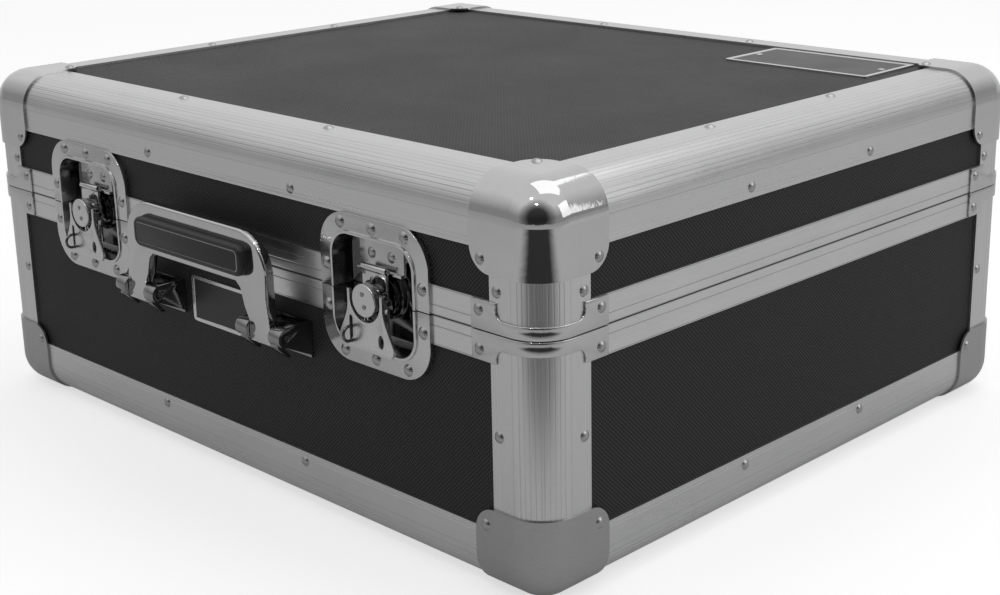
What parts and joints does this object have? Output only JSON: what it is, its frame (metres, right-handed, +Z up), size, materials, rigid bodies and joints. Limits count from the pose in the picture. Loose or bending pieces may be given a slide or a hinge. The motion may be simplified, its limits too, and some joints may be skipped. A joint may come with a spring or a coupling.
{
  "type": "turntable flight case",
  "caption": "Hinged flight case for a turntable, with aluminium edge extrusions, ball corners, recessed butterfly latches and a folding trunk handle.",
  "frame": {"origin": "on the ground under the middle of the whole object, handle and hinges included", "axes": "+Z up, -Y toward the front with the latches and the handle, +X to the right seen from the front"},
  "size_m": [0.5358, 0.4911, 0.2293],
  "materials": {
    "panel_laminate": "satin",
    "extrusion_aluminium": "satin",
    "bright_steel": "polished",
    "satin_steel": "satin",
    "foam": "matte",
    "grip_plastic": "matte",
    "plate_metal": "satin"
  },
  "bodies": {
    "base": {"base_back_edge": "extrusion_aluminium", "base_back_panel": "panel_laminate", "base_ball_corners": "bright_steel", "base_bottom_panel": "panel_laminate", "base_corner_posts": "extrusion_aluminium", "base_foam": "foam", "base_front_edge": "extrusion_aluminium", "base_front_panel": "panel_laminate", "base_hinge_leaves": "satin_steel", "base_latch_rivets": "bright_steel", "base_left_edge": "extrusion_aluminium", "base_left_panel": "panel_laminate", "base_right_edge": "extrusion_aluminium", "base_right_panel": "panel_laminate", "base_rivets": "satin_steel", "base_seam_braces": "bright_steel", "base_seam_profile": "extrusion_aluminium", "front_blank_plate": "plate_metal", "handle_pins": "satin_steel", "hinge_pins": "satin_steel", "left_handle_bracket": "bright_steel", "left_latch_housing": "bright_steel", "left_latch_lower_dish": "bright_steel", "right_handle_bracket": "bright_steel", "right_latch_housing": "bright_steel", "right_latch_lower_dish": "bright_steel"},
    "lid": {"left_latch_keeper": "bright_steel", "left_latch_upper_dish": "bright_steel", "lid_back_edge": "extrusion_aluminium", "lid_back_panel": "panel_laminate", "lid_ball_corners": "bright_steel", "lid_corner_posts": "extrusion_aluminium", "lid_foam": "foam", "lid_front_edge": "extrusion_aluminium", "lid_front_panel": "panel_laminate", "lid_hinge_leaves": "satin_steel", "lid_latch_rivets": "bright_steel", "lid_left_edge": "extrusion_aluminium", "lid_left_panel": "panel_laminate", "lid_right_edge": "extrusion_aluminium", "lid_right_panel": "panel_laminate", "lid_rivets": "satin_steel", "lid_seam_braces": "bright_steel", "lid_seam_profile": "extrusion_aluminium", "lid_top_panel": "panel_laminate", "right_latch_keeper": "bright_steel", "right_latch_upper_dish": "bright_steel", "top_blank_plate": "plate_metal"},
    "handle": {"handle_frame": "bright_steel", "handle_grip": "grip_plastic"},
    "left_drum": {"left_latch_drum": "bright_steel", "left_latch_disc": "bright_steel"},
    "left_wing": {"left_latch_wing": "bright_steel", "left_latch_ring": "satin_steel"},
    "left_hook": {"left_latch_hook": "bright_steel"},
    "right_drum": {"right_latch_drum": "bright_steel", "right_latch_disc": "bright_steel"},
    "right_wing": {"right_latch_wing": "bright_steel", "right_latch_ring": "satin_steel"},
    "right_hook": {"right_latch_hook": "bright_steel"}
  },
  "joints": [
    {"name": "lid_hinge", "type": "hinge", "parent": "base", "child": "lid", "pos_m": [0, 0.24095, 0.1474], "axis": [-1, 0, 0], "range_deg": [0, 105]},
    {"name": "handle_swing", "type": "hinge", "parent": "base", "child": "handle", "pos_m": [0, -0.23735, 0.1144], "axis": [1, 0, 0], "range_deg": [0, 90]},
    {"name": "left_latch_turn", "type": "hinge", "parent": "base", "child": "left_drum", "pos_m": [-0.1415, -0.22335, 0.1474], "axis": [0, -1, 0], "range_deg": [0, 180]},
    {"name": "left_wing_fold", "type": "hinge", "parent": "left_drum", "child": "left_wing", "pos_m": [-0.1415, -0.22335, 0.1474], "axis": [-1, 0, 0], "range_deg": [0, 90]},
    {"name": "left_hook_lift", "type": "slide", "parent": "base", "child": "left_hook", "axis": [0, 0, 1], "range_m": [0, 0.008]},
    {"name": "right_latch_turn", "type": "hinge", "parent": "base", "child": "right_drum", "pos_m": [0.1415, -0.22335, 0.1474], "axis": [0, -1, 0], "range_deg": [0, 180]},
    {"name": "right_wing_fold", "type": "hinge", "parent": "right_drum", "child": "right_wing", "pos_m": [0.1415, -0.22335, 0.1474], "axis": [-1, 0, 0], "range_deg": [0, 90]},
    {"name": "right_hook_lift", "type": "slide", "parent": "base", "child": "right_hook", "axis": [0, 0, 1], "range_m": [0, 0.008]}
  ],
  "couplings": [
    {"joint": "left_hook_lift", "follows": "left_latch_turn", "m_per_rad": 0.002546},
    {"joint": "right_hook_lift", "follows": "right_latch_turn", "m_per_rad": 0.002546}
  ]
}
